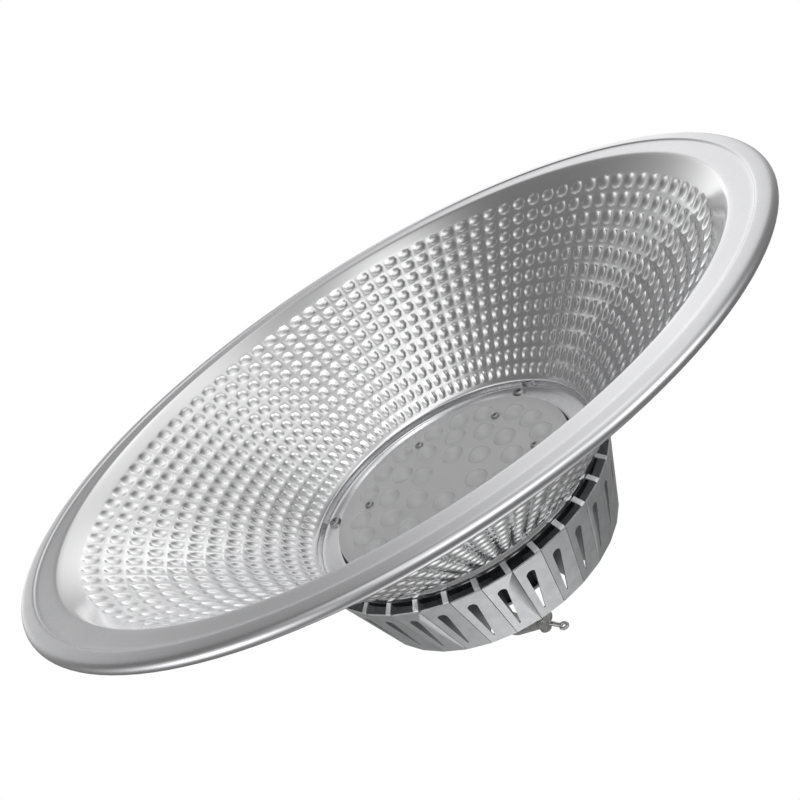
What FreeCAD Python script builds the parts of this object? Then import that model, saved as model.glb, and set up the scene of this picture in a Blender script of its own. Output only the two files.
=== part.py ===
"""High bay light: a spun and dimpled aluminium reflector on a drum of folded sheet fins.

The light hangs with its opening down. The origin is the centre of the rim's plane, +Z runs
up the axis of the light to the hanger, and all sizes are millimetres and degrees.
"""
import FreeCAD, Part
import math
import os
import re
import Sketcher
from types import SimpleNamespace
from FreeCAD import Placement, Rotation, Vector

doc = FreeCAD.newDocument("HighBayLight")
UP = Vector(0, 0, 1)

# ---------------------------------------------------------------- driving dimensions
SIZES = {
    # reflector: one spun sheet with an open hem at the rim and a collar at the neck
    "rim_radius": 205.0, "reflector_sheet": 1.2, "hem_radius": 2.5, "hem_return": 3.0,
    "rim_band": 7.5, "ridge_height": 1.0, "ridge_run": 0.5, "flange_inner_radius": 187.1,
    "flange_rise": 1.0, "neck_radius": 89.5, "neck_height": 98.0, "collar_length": 7.0,
    "neck_opening_radius": 77.0, "rim_plain_band": 10.0, "neck_plain_band": 2.4,
    "dimple_rings": 12, "dimple_columns": 90, "dimple_depth": 0.9, "inner_step": 0.02,
    "outer_step": 0.3,
    "reflector_screw_count": 3, "reflector_screw_circle": 83.5, "reflector_screw_radius": 2.0,
    "reflector_screw_head_radius": 4.0, "reflector_screw_head": 2.2,
    "reflector_screw_bite": 2.8, "reflector_hole_clearance": 0.2,
    # heat sink: cast core with 36 folded sheet fins pressed into its slots
    "core_radius": 89.0, "core_flange": 3.0, "core_base": 7.0, "hub_radius": 58.0,
    "hub_wall": 4.0, "wire_hole_radius": 5.0, "fin_count": 36, "fin_phase": 4.4,
    "fin_sheet": 0.8, "fin_slot_depth": 1.5, "fin_slot_clearance": 0.1, "fin_front_height": 102.4,
    "fin_nose_clearance": 0.4, "fin_strip_width": 3.0, "fin_bend_radius": 1.5, "drum_front_height": 106.5,
    "drum_front_radius": 96.1, "drum_back_height": 151.3, "drum_back_radius": 82.7,
    "panel_gap": 0.35, "vent_head_radius": 2.5, "vent_tip_radius": 0.4,
    "vent_head_rise": 10.2, "vent_tip_margin": 6.75, "vent_head_offset": 1.0,
    "vent_tip_offset": 2.8,
    # light source and lens
    "thermal_pad": 0.3, "led_board": 1.2, "led_board_radius": 70.0, "led_size": 3.0,
    "led_height": 0.6, "lens_radius": 75.7, "lens_stand_out": 4.8, "lens_plate": 2.0,
    "lens_skirt": 3.4, "lens_gasket": 0.6, "dome_radius": 7.25, "dome_height": 4.6,
    "inner_ring_radius": 22.5, "middle_ring_radius": 41.0, "outer_ring_radius": 60.0,
    "outer_ring_spread": 17.8, "lens_screw_count": 6, "lens_screw_circle": 55.5, "lens_screw_radius": 1.5,
    "lens_screw_head_radius": 2.8, "lens_screw_head": 1.6, "lens_screw_bite": 5.0,
    "lens_boss_radius": 4.0, "lens_hole_clearance": 0.2,
    # driver in the hub
    "driver_board_radius": 47.0, "driver_board": 1.6, "driver_standoff": 6.0,
    "standoff_radius": 3.0, "driver_screw_count": 4, "driver_screw_circle": 42.0, "driver_screw_radius": 1.5,
    "driver_screw_head_radius": 2.75, "driver_screw_head": 1.8, "driver_screw_bite": 4.5,
    "driver_hole_clearance": 0.2, "transformer_length": 32.0, "transformer_width": 27.0,
    "transformer_height": 18.0, "capacitor_radius": 8.0, "capacitor_height": 20.0,
    "terminal_length": 20.0, "terminal_width": 10.0, "terminal_height": 12.0,
    "terminal_bore_radius": 1.6,
    # back cover
    "cover_overhang": 2.0, "back_cover": 2.0, "cover_gasket": 0.5, "cover_screw_count": 4,
    "cover_screw_phase": 49.4,
    "cover_screw_radius": 1.5, "cover_screw_head_radius": 2.75, "cover_screw_head": 1.8,
    "cover_screw_bite": 7.0, "cover_hole_clearance": 0.2, "gland_boss": 4.0,
    "gland_boss_radius": 11.0,
    # cable gland
    "gland_offset": 36.0, "gland_thread_radius": 8.0, "gland_thread": 6.0,
    "gland_flats": 20.0, "gland_hexagon": 5.0, "gland_neck": 7.0, "gland_neck_radius": 7.5,
    "gland_bore_radius": 4.0, "gland_nut_flats": 22.0, "gland_nut_end": 3.0,
    "gland_nut_gap": 0.5, "gland_seal": 3.0, "gland_seal_clearance": 0.2,
    # hanger
    "stem_radius": 8.0, "stem_foot_radius": 13.0, "stem_foot": 4.0, "stud_radius": 5.0,
    "stud_length": 9.5, "stud_nut_flats": 16.0, "stud_nut": 6.0, "stud_clearance": 0.2,
    "stem_bore_radius": 3.2, "stem_bore": 13.0, "stem_length": 36.2,
    "hook_height": 36.5, "hook_sheet": 2.5, "hook_width": 17.0, "hook_reach": 20.0,
    "hook_bend_radius": 4.5, "hook_azimuth": 118.0, "hook_hole_clearance": 0.2,
    "pin_radius": 4.0, "pin_tail_radius": 3.0, "pin_tail": 11.0, "pin_stand_out": 10.0,
    "pin_chamfer": 1.2, "split_pin_radius": 1.6, "split_pin_lift": 2.7,
    "split_pin_head": 14.5, "split_pin_tail": 9.0, "split_pin_azimuth": -33.0,
    "split_pin_eye_radius": 3.4, "split_pin_clearance": 0.1,
}
# heights and radii that follow from other sizes
STACK = {
    "seat_height": "neck_height + collar_length",
    "core_back_height": "seat_height + core_flange",
    "core_base_height": "seat_height + core_base",
    "board_front_height": "seat_height - thermal_pad - led_board",
    "lens_front_height": "seat_height - lens_stand_out",
    "lens_back_height": "lens_front_height + lens_plate",
    "driver_seat_height": "core_base_height + driver_standoff",
    "driver_top_height": "driver_seat_height + driver_board",
    "cover_seat_height": "drum_back_height + cover_gasket",
    "cover_top_height": "cover_seat_height + back_cover",
    "gland_neck_height": "cover_top_height + gland_hexagon + gland_neck",
    "hook_seat_height": "cover_top_height + stem_length",
    "hook_top_height": "hook_seat_height + hook_height",
    "pin_top_height": "hook_top_height + pin_stand_out",
    "split_pin_height": "hook_top_height + split_pin_lift",
    "stud_top_height": "hook_seat_height + stud_length",
    "fin_root_radius": "hub_radius - fin_slot_depth",
    "cover_radius": "hub_radius + cover_overhang",
    "cover_screw_circle": "hub_radius - hub_wall / 2",
    "dome_sphere_radius": "(dome_radius ^ 2 + dome_height ^ 2) / (2 * dome_height)",
}

sheet = doc.addObject("Spreadsheet::Sheet", "Sizes")
for row, (alias, number) in enumerate(SIZES.items(), start=1):
    sheet.set("A%d" % row, alias)
    sheet.set("B%d" % row, str(number))
    sheet.setAlias("B%d" % row, alias)
for row, (alias, rule) in enumerate(STACK.items(), start=len(SIZES) + 2):
    sheet.set("A%d" % row, alias)
    sheet.set("B%d" % row, "=" + rule)
    sheet.setAlias("B%d" % row, alias)
doc.recompute()
NAMES = list(SIZES) + list(STACK)
size = SimpleNamespace(**{alias: float(sheet.get(alias)) for alias in NAMES})


# ---------------------------------------------------------------- helpers
def formula(text):
    """Point every alias in a formula at the sheet."""
    return re.sub(r"\b[a-z_]+\b",
                  lambda word: "Sizes." + word.group(0) if word.group(0) in NAMES
                  else word.group(0), str(text))


def bind(item, places=None, **formulas):
    """Tie properties to the sheet; places gives the x, y, z and turn of the placement."""
    if places and "turn" in places:
        item.Placement = Placement(Vector(), Rotation(UP, 1))
    for name, text in (places or {}).items():
        path = "Placement.Rotation.Angle" if name == "turn" else "Placement.Base." + name
        item.setExpression(path, formula(text))
    for name, text in formulas.items():
        item.setExpression(name, formula(text))
    return item


def around(circle, angle, **places):
    """Placement formulas of a point on a circle about the axis."""
    return dict(x="%s * cos(%s)" % (circle, angle), y="%s * sin(%s)" % (circle, angle), **places)


def cylinder(radius, height, places):
    item = doc.addObject("Part::Cylinder", "Cylinder")
    return bind(item, places, Radius=radius, Height=height)


def block(length, width, height, places):
    item = doc.addObject("Part::Box", "Block")
    return bind(item, places, Length=length, Width=width, Height=height)


def hexagon(flats, height, places):
    item = doc.addObject("Part::Prism", "Hexagon")
    item.Polygon = 6
    return bind(item, places, Circumradius="%s / 2 / cos(30)" % flats, Height=height)


def united(name, shapes):
    item = doc.addObject("Part::MultiFuse", name)
    item.Shapes = shapes
    return item


def less(name, base, tools):
    item = doc.addObject("Part::Cut", name)
    item.Base = base
    item.Tool = tools[0] if len(tools) == 1 else united("Tools", tools)
    return item


def coded(name, shape):
    """A document object that holds a shape made by code."""
    item = doc.addObject("Part::Feature", name)
    item.Shape = shape
    return item


def sketch_on(body, role, name):
    """A sketch on one of the body's own origin planes."""
    plane = [entry for entry in body.Origin.OriginFeatures if entry.Role == role][0]
    sketch = body.newObject("Sketcher::SketchObject", name)
    sketch.AttachmentSupport = [(plane, "")]
    sketch.MapMode = "FlatFace"
    return sketch


def outline(sketch, points):
    """A closed outline whose every corner is held by formulas of the sheet."""
    spots = [Vector(*[float(FreeCAD.Units.Quantity("(%s)" % numbers(text)).Value)
                      for text in point], 0) for point in points]
    count = len(points)
    for index in range(count):
        sketch.addGeometry(Part.LineSegment(spots[index], spots[(index + 1) % count]))
    for index in range(count):
        sketch.addConstraint(Sketcher.Constraint("Coincident", index, 2, (index + 1) % count, 1))
    for index, point in enumerate(points):
        for kind, axis, text, value in (("DistanceX", -2, point[0], spots[index].x),
                                        ("DistanceY", -1, point[1], spots[index].y)):
            if str(text) == "0":
                sketch.addConstraint(Sketcher.Constraint("PointOnObject", index, 1, axis))
                continue
            held = sketch.addConstraint(Sketcher.Constraint(kind, -1, 1, index, 1, value))
            sketch.setExpression("Constraints[%d]" % held, formula(text))


def numbers(text):
    """A formula with each alias written out as its number."""
    return re.sub(r"\b[a-z_]+\b",
                  lambda word: repr(getattr(size, word.group(0))) if word.group(0) in NAMES
                  else word.group(0), str(text))


def turned(name, points):
    """A body turned about the axis from (radius, height) corners."""
    body = doc.addObject("PartDesign::Body", name)
    sketch = sketch_on(body, "XZ_Plane", name + "Profile")
    outline(sketch, points)
    turn = body.newObject("PartDesign::Revolution", name + "Turn")
    turn.Profile = sketch
    turn.ReferenceAxis = (sketch, ["V_Axis"])
    turn.Angle = 360
    body.Tip = turn
    sketch.Visibility = False
    return body


def ring(name, inner, outer, low, high):
    return turned(name, [(inner, low), (outer, low), (outer, high), (inner, high)])


def screws(name, spots, radius, length, head_radius, head, seat, down):
    """Pan head screws; down tells that the tips point to -Z."""
    pieces = []
    for circle, angle in spots:
        tip = "%s - (%s)" % (seat, length) if down else seat
        crown = seat if down else "%s - (%s)" % (seat, head)
        shank = cylinder(radius, length, around(circle, angle, z=tip))
        pieces.append(shank)
        pieces.append(cylinder(head_radius, head, around(circle, angle, z=crown)))
    return united(name, pieces)


def holes(spots, radius, low, depth):
    return [cylinder(radius, depth, around(circle, angle, z=low)) for circle, angle in spots]


def spaced(circle, count, first=0.0):
    """Evenly spaced places round a circle, from a first angle."""
    return [(circle, first + n * 360.0 / count) for n in range(int(count))]


REFLECTOR_SCREWS = spaced("reflector_screw_circle", size.reflector_screw_count)
LENS_SCREWS = spaced("lens_screw_circle", size.lens_screw_count)
DRIVER_SCREWS = spaced("driver_screw_circle", size.driver_screw_count, 45.0)
COVER_SCREWS = spaced("cover_screw_circle", size.cover_screw_count, size.cover_screw_phase)
DOMES = [("inner_ring_radius", 30 + 60 * n) for n in range(6)]
DOMES += [("middle_ring_radius", 30 * n) for n in range(12)]
DOMES += [("outer_ring_radius", "%d + %d * outer_ring_spread" % (30 + 60 * n, side))
          for n in range(6) for side in (-1, 0, 1)]
FINS = [n * 360.0 / size.fin_count for n in range(int(size.fin_count))]


# ---------------------------------------------------------------- reflector
cone_foot = size.ridge_height + size.flange_rise
cone_run = size.flange_inner_radius - size.neck_radius
cone_rise = size.neck_height - cone_foot
slant = math.hypot(cone_run, cone_rise)
spread = cone_run / cone_rise
normal = (cone_rise / slant, cone_run / slant)
step = 2 * math.pi / size.dimple_columns
rings_count = int(size.dimple_rings)
columns = int(size.dimple_columns)
low_rise = cone_foot + size.rim_plain_band * normal[0]
high_rise = size.neck_height - size.neck_plain_band * normal[0]
rises = [low_rise + (high_rise - low_rise) * n / rings_count for n in range(rings_count + 1)]


def cone_point(rise, offset=0.0):
    """Radius of the dimpled cone at a height, offset along the cone's normal."""
    radius = size.flange_inner_radius - (rise - cone_foot) * spread
    return radius + offset * math.hypot(1, spread)


def lines(points):
    spots = [Vector(r, 0, z) for r, z in points]
    return [Part.makeLine(a, b) for a, b in zip(spots, spots[1:])]


def arc(centre, radius, start, middle, end):
    spots = [Vector(centre[0] + radius * math.cos(math.radians(a)), 0,
                    centre[1] + radius * math.sin(math.radians(a)))
             for a in (start, middle, end)]
    return Part.Arc(*spots).toShape()


def joint_faces(height, inner_corners, outer_corners):
    """Flat rings that close the step between the smooth turned sheet and the facets."""
    rings = []
    thick = size.reflector_sheet
    for offset, corners in ((0.0, inner_corners), (thick, outer_corners)):
        circle = Part.makeCircle(cone_point(height, offset), Vector(0, 0, height))
        polygon = Part.makePolygon(corners + corners[:1])
        wires = [Part.Wire(circle), polygon]
        rings.append(Part.makeFace(wires, "Part::FaceMakerBullseye"))
    return rings


def corner_radius(rise, outside):
    """Radius of the facet corners, kept inside the smooth sheet they meet."""
    if outside:
        return cone_point(rise, size.reflector_sheet) - size.outer_step
    return (cone_point(rise) + size.inner_step) / math.cos(step / 2)


def dimpled_side(outside):
    """Corner rows and triangles of one side of the dimpled band."""
    spots = []
    for rise in rises:
        radius = corner_radius(rise, outside)
        spots += [Vector(radius * math.cos(step * k), radius * math.sin(step * k), rise)
                  for k in range(columns)]
    facets = []
    for n in range(rings_count):
        middle = (corner_radius(rises[n], outside) + corner_radius(rises[n + 1], outside)) / 2
        radius = middle * math.cos(step / 2) + size.dimple_depth * normal[0]
        rise = (rises[n] + rises[n + 1]) / 2 + size.dimple_depth * normal[1]
        for k in range(columns):
            angle = step * (k + 0.5)
            tip = len(spots)
            spots.append(Vector(radius * math.cos(angle), radius * math.sin(angle), rise))
            a = n * columns + k
            b = n * columns + (k + 1) % columns
            around_tip = [a, b, b + columns, a + columns]
            for first, second in zip(around_tip, around_tip[1:] + around_tip[:1]):
                facets.append((first, second, tip) if outside else (second, first, tip))
    return spots, facets


def facet_faces(outside):
    spots, facets = dimpled_side(outside)
    shell = Part.Shape()
    shell.makeShapeFromMesh((spots, facets), 0.001)
    return shell.Faces, spots


def drilled_neck():
    """Faces of the collar and its inner flange, with the screw holes drilled."""
    thick = size.reflector_sheet
    seat = size.seat_height
    collar = size.neck_radius + thick
    outer_knee = cone_foot + (cone_point(cone_foot, thick) - collar) / spread
    edges = lines([(cone_point(high_rise), high_rise), (size.neck_radius, size.neck_height),
                   (size.neck_radius, seat - thick), (size.neck_opening_radius, seat - thick),
                   (size.neck_opening_radius, seat), (collar - thick, seat)])
    edges.append(arc((collar - thick, seat - thick), thick, 90, 45, 0))
    edges += lines([(collar, seat - thick), (collar, outer_knee),
                    (cone_point(high_rise, thick), high_rise), (cone_point(high_rise), high_rise)])
    neck = Part.Face(Part.Wire(edges)).revolve(Vector(), UP, 360)
    hole = size.reflector_screw_radius + size.reflector_hole_clearance
    for _, angle in REFLECTOR_SCREWS:
        turn = math.radians(angle)
        spot = Vector(size.reflector_screw_circle * math.cos(turn),
                      size.reflector_screw_circle * math.sin(turn), seat - 2 * thick)
        neck = neck.cut(Part.makeCylinder(hole, 3 * thick, spot))
    return [face for face in neck.Faces if face.BoundBox.ZMax > high_rise + 0.01]


def rolled_rim():
    """Faces of the rim: the flange, its ridge and the open hem turned back on itself."""
    thick = size.reflector_sheet
    hem = (size.rim_radius - size.hem_radius, size.hem_radius)
    band = size.rim_radius - size.rim_band
    ridge = band - size.ridge_run
    edges = lines([(cone_point(low_rise), low_rise), (size.flange_inner_radius, cone_foot),
                   (ridge, size.ridge_height), (band, 0), (hem[0], 0)])
    edges.append(arc(hem, size.hem_radius, -90, 0, 90))
    lip = hem[0] - size.hem_return
    top = 2 * size.hem_radius
    edges += lines([(hem[0], top), (lip, top), (lip, top - thick), (hem[0], top - thick)])
    edges.append(arc(hem, size.hem_radius - thick, 90, 0, -90))
    fall = size.flange_rise / (ridge - size.flange_inner_radius)
    back_offset = cone_point(cone_foot, thick) - size.flange_inner_radius
    rise = (thick - fall * back_offset) / (1 - fall * spread)
    edges += lines([(hem[0], thick), (band + 0.6 * thick, thick),
                    (ridge + 0.6 * thick, size.ridge_height + thick),
                    (cone_point(cone_foot + rise, thick), cone_foot + rise),
                    (cone_point(low_rise, thick), low_rise)])
    return Part.Wire(edges).revolve(Vector(), UP, 360).Faces


def reflector_solid():
    """The whole spun sheet: smooth rim and neck with the dimpled band sewn between them."""
    inner, inner_spots = facet_faces(False)
    outer, outer_spots = facet_faces(True)
    last = rings_count * columns
    faces = rolled_rim() + drilled_neck() + inner + outer
    faces += joint_faces(low_rise, inner_spots[:columns], outer_spots[:columns])
    faces += joint_faces(high_rise, inner_spots[last:last + columns],
                         outer_spots[last:last + columns])
    shape = Part.makeCompound(faces)
    shape.sewShape(0.001)
    solid = Part.Solid(shape.Shells[0])
    if solid.Volume < 0:
        solid.reverse()
    return solid


reflector = coded("reflector", reflector_solid())
reflector_screws = screws(
    "reflector_screws", REFLECTOR_SCREWS, "reflector_screw_radius",
    "reflector_sheet + reflector_screw_bite", "reflector_screw_head_radius",
    "reflector_screw_head", "seat_height - reflector_sheet", False)


# ---------------------------------------------------------------- folded fins
def plate(points, along):
    """A flat sheet from its corners, given a thickness."""
    return Part.Face(Part.makePolygon(points + points[:1])).extrude(along)


def teardrop(head, head_radius, tip, tip_radius, square):
    """A flat slot with a wide round head, a narrow round tip and straight tangent sides."""
    axis = (tip - head).normalize()
    side = axis.cross(square).normalize()
    cosine = (head_radius - tip_radius) / (tip - head).Length
    sine = math.sqrt(1 - cosine ** 2)
    ways = [axis * cosine + side * sine, axis * cosine - side * sine]
    heads = [head + way * head_radius for way in ways]
    tips = [tip + way * tip_radius for way in ways]
    edges = [Part.Arc(heads[0], head - axis * head_radius, heads[1]).toShape(),
             Part.makeLine(heads[1], tips[1]),
             Part.Arc(tips[1], tip + axis * tip_radius, tips[0]).toShape(),
             Part.makeLine(tips[0], heads[0])]
    return Part.Face(Part.Wire(edges))


def fin_solid():
    """One fin: a radial web, a strip folded along its sloped nose and a vented outer panel.

    The web stands on the XZ plane. Strip and panel are folded towards +Y along the chord
    to the next fin, so the bends are drawn square to the chord and then laid on the web.
    """
    thick = size.fin_sheet
    half = math.pi / size.fin_count
    chord = Vector(-math.sin(half), math.cos(half), 0)
    front = (size.drum_front_radius * math.cos(half), size.drum_front_height)
    back = (size.drum_back_radius * math.cos(half), size.drum_back_height)
    beta = math.atan((front[0] - back[0]) / (back[1] - front[1]))
    bend = size.fin_bend_radius
    centre = (front[0] - bend * math.cos(beta), front[1] - bend * math.sin(beta))
    nose = (size.neck_radius + size.reflector_sheet + size.fin_nose_clearance) * math.cos(half)
    reach = (nose - centre[0], size.fin_front_height - centre[1])
    slope = math.atan2(reach[1], reach[0]) + math.acos(bend / math.hypot(*reach))
    turns = [slope + (beta - slope) * n / 3 for n in range(4)]

    def on_web(point):
        return Vector(point[0] / math.cos(half), 0, point[1])

    def nose_points(radius):
        return [on_web((centre[0] + radius * math.cos(a), centre[1] + radius * math.sin(a)))
                for a in turns]

    root = size.fin_root_radius
    web = [Vector(root, 0, size.drum_back_height), Vector(root, 0, size.core_back_height),
           on_web((nose, size.core_back_height)), on_web((nose, size.fin_front_height))]
    web += nose_points(bend)
    web.append(on_web(back))
    fin = plate(web, chord * (thick / math.cos(half)))
    strip = [on_web((nose, size.fin_front_height))] + nose_points(bend)
    strip += nose_points(bend - thick)[::-1]
    strip.append(on_web((nose, size.fin_front_height - thick / math.sin(slope))))
    fold = plate(strip, chord * size.fin_strip_width)

    inward = Vector(-math.cos(beta) * math.cos(half), -math.cos(beta) * math.sin(half),
                    -math.sin(beta))
    rise = Vector(-math.sin(beta) * math.cos(half), -math.sin(beta) * math.sin(half),
                  math.cos(beta))
    front_width = 2 * size.drum_front_radius * math.sin(half) - size.panel_gap
    back_width = 2 * size.drum_back_radius * math.sin(half) - size.panel_gap
    panel = plate([on_web(front), on_web(front) + chord * front_width,
                   on_web(back) + chord * back_width, on_web(back)], inward * thick)
    middle = on_web(front) + chord * (size.drum_front_radius * math.sin(half))
    head = middle + rise * size.vent_head_rise + chord * size.vent_head_offset
    reach = math.hypot(front[0] - back[0], back[1] - front[1]) - size.vent_tip_margin
    tip = middle + rise * reach + chord * size.vent_tip_offset
    vent = teardrop(head, size.vent_head_radius, tip, size.vent_tip_radius, inward)
    vent.translate(inward * -thick)
    panel = panel.cut(vent.extrude(inward * 3 * thick))
    return fin.multiFuse([fold, panel]).removeSplitter().Solids[0]


master_fin = fin_solid()
fins = []
for count, angle in enumerate(FINS, start=1):
    fin = coded("fin_%02d" % count, master_fin)
    fin.Placement = Placement(Vector(), Rotation(UP, size.fin_phase + angle))
    fins.append(fin)

# ---------------------------------------------------------------- core
core_blank = turned("CoreBlank", [
    ("wire_hole_radius", "seat_height"), ("core_radius", "seat_height"),
    ("core_radius", "core_back_height"), ("hub_radius", "core_back_height"),
    ("hub_radius", "drum_back_height"), ("hub_radius - hub_wall", "drum_back_height"),
    ("hub_radius - hub_wall", "core_base_height"), ("wire_hole_radius", "core_base_height")])
standoffs = holes(DRIVER_SCREWS, "standoff_radius", "core_base_height - 1", "driver_standoff + 1")
slots = []
for angle in FINS:
    slot = block("fin_slot_depth + 2", "fin_sheet", "drum_back_height - core_back_height + 1", {})
    turn = "(fin_phase + %s)" % angle
    bind(slot, around("(fin_root_radius - fin_slot_clearance)", turn, z="core_back_height",
                      turn=turn))
    slots.append(slot)
tapped = holes(REFLECTOR_SCREWS, "reflector_screw_radius", "seat_height - 1",
               "reflector_screw_bite + 1")
tapped += holes(LENS_SCREWS, "lens_screw_radius", "seat_height - 1", "lens_screw_bite + 1")
tapped += holes(DRIVER_SCREWS, "driver_screw_radius", "driver_seat_height - driver_screw_bite",
                "driver_screw_bite + 1")
tapped += holes(COVER_SCREWS, "cover_screw_radius", "drum_back_height - cover_screw_bite",
                "cover_screw_bite + 1")
core_body = less("core_body", united("CoreSolid", [core_blank] + standoffs), slots + tapped)

# ---------------------------------------------------------------- light source
pad_blank = ring("PadBlank", "wire_hole_radius", "led_board_radius",
                 "seat_height - thermal_pad", "seat_height")
thermal_pad = less("thermal_pad", pad_blank, holes(
    LENS_SCREWS, "lens_screw_radius + lens_hole_clearance", "seat_height - 2", "3"))
board_blank = turned("BoardBlank", [
    (0, "board_front_height"), ("led_board_radius", "board_front_height"),
    ("led_board_radius", "seat_height - thermal_pad"), (0, "seat_height - thermal_pad")])
leds = [board_blank]
for circle, angle in DOMES:
    led = block("led_size", "led_size", "led_height + 0.2", {})
    turn = "(%s)" % angle
    bind(led, dict(x="%s * cos(%s) - led_size / 2" % (circle, turn),
                   y="%s * sin(%s) - led_size / 2" % (circle, turn),
                   z="board_front_height - led_height"))
    leds.append(led)
led_board = less("led_board", united("BoardWithLeds", leds), holes(
    LENS_SCREWS, "lens_screw_radius + lens_hole_clearance", "board_front_height - 1",
    "led_board + 2"))

# ---------------------------------------------------------------- lens
lens_blank = turned("LensBlank", [
    (0, "lens_front_height"), ("lens_radius", "lens_front_height"),
    ("lens_radius", "seat_height - lens_gasket"),
    ("lens_radius - lens_skirt", "seat_height - lens_gasket"),
    ("lens_radius - lens_skirt", "lens_back_height"), (0, "lens_back_height")])
lens_pieces = [lens_blank]
for circle, angle in DOMES:
    dome = doc.addObject("Part::Sphere", "Dome")
    turn = "(%s)" % angle
    bind(dome, around(circle, turn,
                      z="lens_front_height + dome_sphere_radius - dome_height"),
         Radius="dome_sphere_radius",
         Angle2="-asin((dome_sphere_radius - dome_height - 0.3) / dome_sphere_radius)")
    dome.Angle1 = -90
    lens_pieces.append(dome)
lens_pieces += holes(LENS_SCREWS, "lens_boss_radius", "lens_back_height - 0.5",
                     "board_front_height - lens_back_height + 0.5")
lens_plate = less("lens_plate", united("LensSolid", lens_pieces), holes(
    LENS_SCREWS, "lens_screw_radius + lens_hole_clearance", "lens_front_height - 1",
    "seat_height - lens_front_height + 1"))
lens_gasket = ring("lens_gasket", "lens_radius - lens_skirt", "lens_radius",
                   "seat_height - lens_gasket", "seat_height")
lens_screws = screws("lens_screws", LENS_SCREWS, "lens_screw_radius",
                     "seat_height - lens_front_height + lens_screw_bite",
                     "lens_screw_head_radius", "lens_screw_head", "lens_front_height", False)

# ---------------------------------------------------------------- driver
driver_blank = turned("DriverBlank", [
    (0, "driver_seat_height"), ("driver_board_radius", "driver_seat_height"),
    ("driver_board_radius", "driver_top_height"), (0, "driver_top_height")])
driver_board = less("driver_board", driver_blank, holes(
    DRIVER_SCREWS, "driver_screw_radius + driver_hole_clearance", "driver_seat_height - 1",
    "driver_board + 2"))
driver_screws = screws("driver_screws", DRIVER_SCREWS, "driver_screw_radius",
                       "driver_board + driver_screw_bite", "driver_screw_head_radius",
                       "driver_screw_head", "driver_top_height", True)
transformer_core = block("transformer_length", "transformer_width", "transformer_height / 3",
                         dict(x="-transformer_length / 2", y="-transformer_width / 2",
                              z="driver_top_height + transformer_height / 3"))
transformer_coil = block("transformer_length * 0.7", "transformer_width * 0.8",
                         "transformer_height",
                         dict(x="-transformer_length * 0.35", y="-transformer_width * 0.4",
                              z="driver_top_height"))
driver_transformer = united("driver_transformer", [transformer_core, transformer_coil])
can = cylinder("capacitor_radius", "capacitor_height",
               dict(x="0", y="transformer_width / 2 + capacitor_radius + 4",
                    z="driver_top_height"))
can_groove = doc.addObject("Part::Torus", "CanGroove")
bind(can_groove, dict(y="transformer_width / 2 + capacitor_radius + 4",
                      z="driver_top_height + capacitor_height / 6"),
     Radius1="capacitor_radius + 0.4", Radius2="0.9")
driver_capacitor = less("driver_capacitor", can, [can_groove])
terminal_shell = block("terminal_width", "terminal_length", "terminal_height",
                       dict(x="-transformer_length / 2 - terminal_width - 4",
                            y="-terminal_length / 2", z="driver_top_height"))
terminal_holes = []
for side in (-1, 0, 1):
    entry = cylinder("terminal_bore_radius", "terminal_height", dict(
        x="-transformer_length / 2 - terminal_width / 2 - 4",
        y="%d * terminal_length / 3" % side, z="driver_top_height + terminal_height / 3"))
    terminal_holes.append(entry)
terminal_block = less("terminal_block", terminal_shell, terminal_holes)

# ---------------------------------------------------------------- back cover
gland_spot = dict(x="-gland_offset", y="0")
cover_gasket_blank = ring("GasketBlank", "hub_radius - hub_wall", "hub_radius",
                          "drum_back_height", "cover_seat_height")
cover_gasket = less("cover_gasket", cover_gasket_blank, holes(
    COVER_SCREWS, "cover_screw_radius + cover_hole_clearance", "drum_back_height - 1",
    "cover_gasket + 2"))
cover_blank = turned("CoverBlank", [
    ("stud_radius + stud_clearance", "cover_seat_height"), ("cover_radius", "cover_seat_height"),
    ("cover_radius", "cover_top_height - back_cover / 4"),
    ("cover_radius - back_cover / 4", "cover_top_height"),
    ("stud_radius + stud_clearance", "cover_top_height")])
gland_boss = cylinder("gland_boss_radius", "gland_boss + back_cover / 2",
                      dict(gland_spot, z="cover_seat_height - gland_boss"))
cover_cuts = holes(COVER_SCREWS, "cover_screw_radius + cover_hole_clearance",
                   "cover_seat_height - 1", "back_cover + 2")
cover_cuts.append(cylinder("gland_thread_radius", "gland_boss + back_cover + 2",
                           dict(gland_spot, z="cover_seat_height - gland_boss - 1")))
back_cover = less("back_cover", united("CoverSolid", [cover_blank, gland_boss]), cover_cuts)
cover_screws = screws("cover_screws", COVER_SCREWS, "cover_screw_radius",
                      "cover_gasket + back_cover + cover_screw_bite", "cover_screw_head_radius",
                      "cover_screw_head", "cover_top_height", True)

# ---------------------------------------------------------------- cable gland
gland_pieces = [
    cylinder("gland_thread_radius", "gland_thread + 1",
             dict(gland_spot, z="cover_top_height - gland_thread")),
    hexagon("gland_flats", "gland_hexagon", dict(gland_spot, z="cover_top_height")),
    cylinder("gland_neck_radius", "gland_hexagon + gland_neck",
             dict(gland_spot, z="cover_top_height"))]
gland_body = less("gland_body", united("GlandSolid", gland_pieces), [
    cylinder("gland_bore_radius", "gland_thread + gland_hexagon + gland_neck + 2",
             dict(gland_spot, z="cover_top_height - gland_thread - 1"))])
gland_seal = less("gland_seal",
                  cylinder("gland_neck_radius - gland_seal_clearance", "gland_seal",
                           dict(gland_spot, z="gland_neck_height")),
                  [cylinder("gland_bore_radius", "gland_seal + 2",
                            dict(gland_spot, z="gland_neck_height - 1"))])
nut_low = "cover_top_height + gland_hexagon + gland_nut_gap"
nut_blank = hexagon("gland_nut_flats",
                    "gland_neck - gland_nut_gap + gland_seal + gland_nut_end",
                    dict(gland_spot, z=nut_low))
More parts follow.
